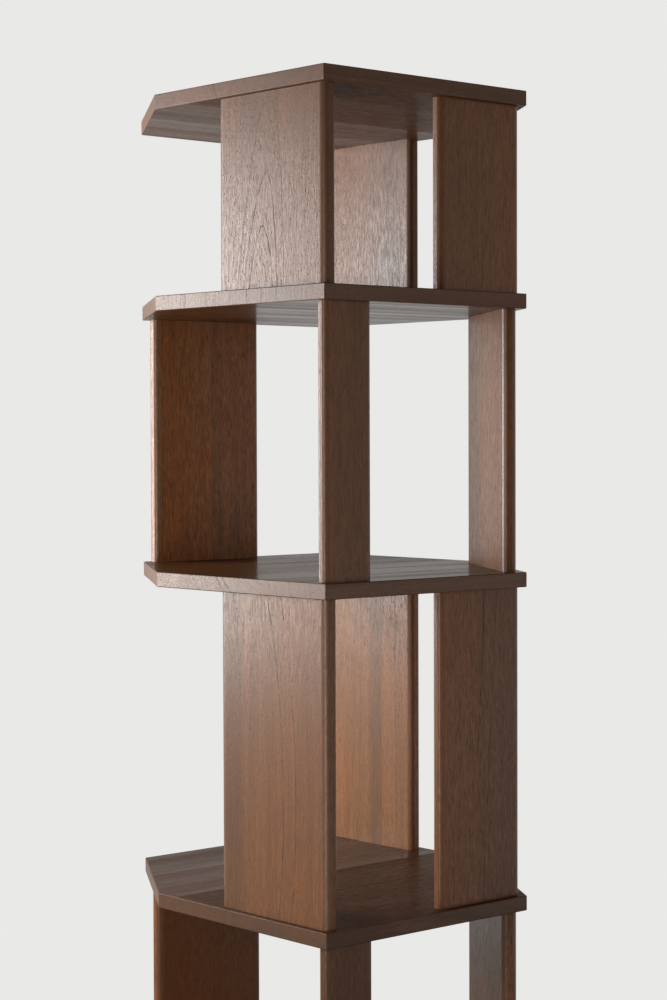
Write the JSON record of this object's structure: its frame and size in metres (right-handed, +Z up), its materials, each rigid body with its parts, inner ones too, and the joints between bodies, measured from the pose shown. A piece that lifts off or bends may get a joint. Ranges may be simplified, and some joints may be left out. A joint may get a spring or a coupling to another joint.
{
  "type": "tower bookshelf",
  "caption": "Tall freestanding wooden tower bookshelf: hexagonal boards with two cut corners, held apart by offset round-edged upright panels on hidden dowels.",
  "frame": {"origin": "on the floor, under the middle of the boards", "axes": "+Z up; -Y towards the front side and -X towards the left side, so that the sharp front corner points to -X -Y and the cut corners to +X -Y and -X +Y"},
  "size_m": [0.496, 0.565, 1.565],
  "materials": {
    "board_teak": "brown-tinted solid teak, satin lacquer, grain along the front side, end grain at the left side",
    "panel_teak": "brown-tinted solid teak, satin lacquer, upright grain",
    "dowel_beech": "plain beech dowel",
    "pad_felt": "dark brown pressed felt"
  },
  "bodies": {
    "root": {"base_board": "board_teak", "bottom_tier_back_panel": "panel_teak", "bottom_tier_back_panel_foot_dowels": "dowel_beech", "bottom_tier_back_panel_head_dowels": "dowel_beech", "bottom_tier_corner_panel": "panel_teak", "bottom_tier_corner_panel_foot_dowels": "dowel_beech", "bottom_tier_corner_panel_head_dowels": "dowel_beech", "bottom_tier_front_post": "panel_teak", "bottom_tier_front_post_foot_dowels": "dowel_beech", "bottom_tier_front_post_head_dowels": "dowel_beech", "floor_pads": "pad_felt", "lower_shelf": "board_teak", "lower_tier_front_panel": "panel_teak", "lower_tier_front_panel_foot_dowels": "dowel_beech", "lower_tier_front_panel_head_dowels": "dowel_beech", "lower_tier_left_panel": "panel_teak", "lower_tier_left_panel_foot_dowels": "dowel_beech", "lower_tier_left_panel_head_dowels": "dowel_beech", "lower_tier_right_panel": "panel_teak", "lower_tier_right_panel_foot_dowels": "dowel_beech", "lower_tier_right_panel_head_dowels": "dowel_beech", "middle_shelf": "board_teak", "top_board": "board_teak", "top_tier_front_panel": "panel_teak", "top_tier_front_panel_foot_dowels": "dowel_beech", "top_tier_front_panel_head_dowels": "dowel_beech", "top_tier_left_panel": "panel_teak", "top_tier_left_panel_foot_dowels": "dowel_beech", "top_tier_left_panel_head_dowels": "dowel_beech", "top_tier_right_panel": "panel_teak", "top_tier_right_panel_foot_dowels": "dowel_beech", "top_tier_right_panel_head_dowels": "dowel_beech", "upper_shelf": "board_teak", "upper_tier_back_panel": "panel_teak", "upper_tier_back_panel_foot_dowels": "dowel_beech", "upper_tier_back_panel_head_dowels": "dowel_beech", "upper_tier_corner_panel": "panel_teak", "upper_tier_corner_panel_foot_dowels": "dowel_beech", "upper_tier_corner_panel_head_dowels": "dowel_beech", "upper_tier_front_post": "panel_teak", "upper_tier_front_post_foot_dowels": "dowel_beech", "upper_tier_front_post_head_dowels": "dowel_beech"}
  },
  "joints": []
}
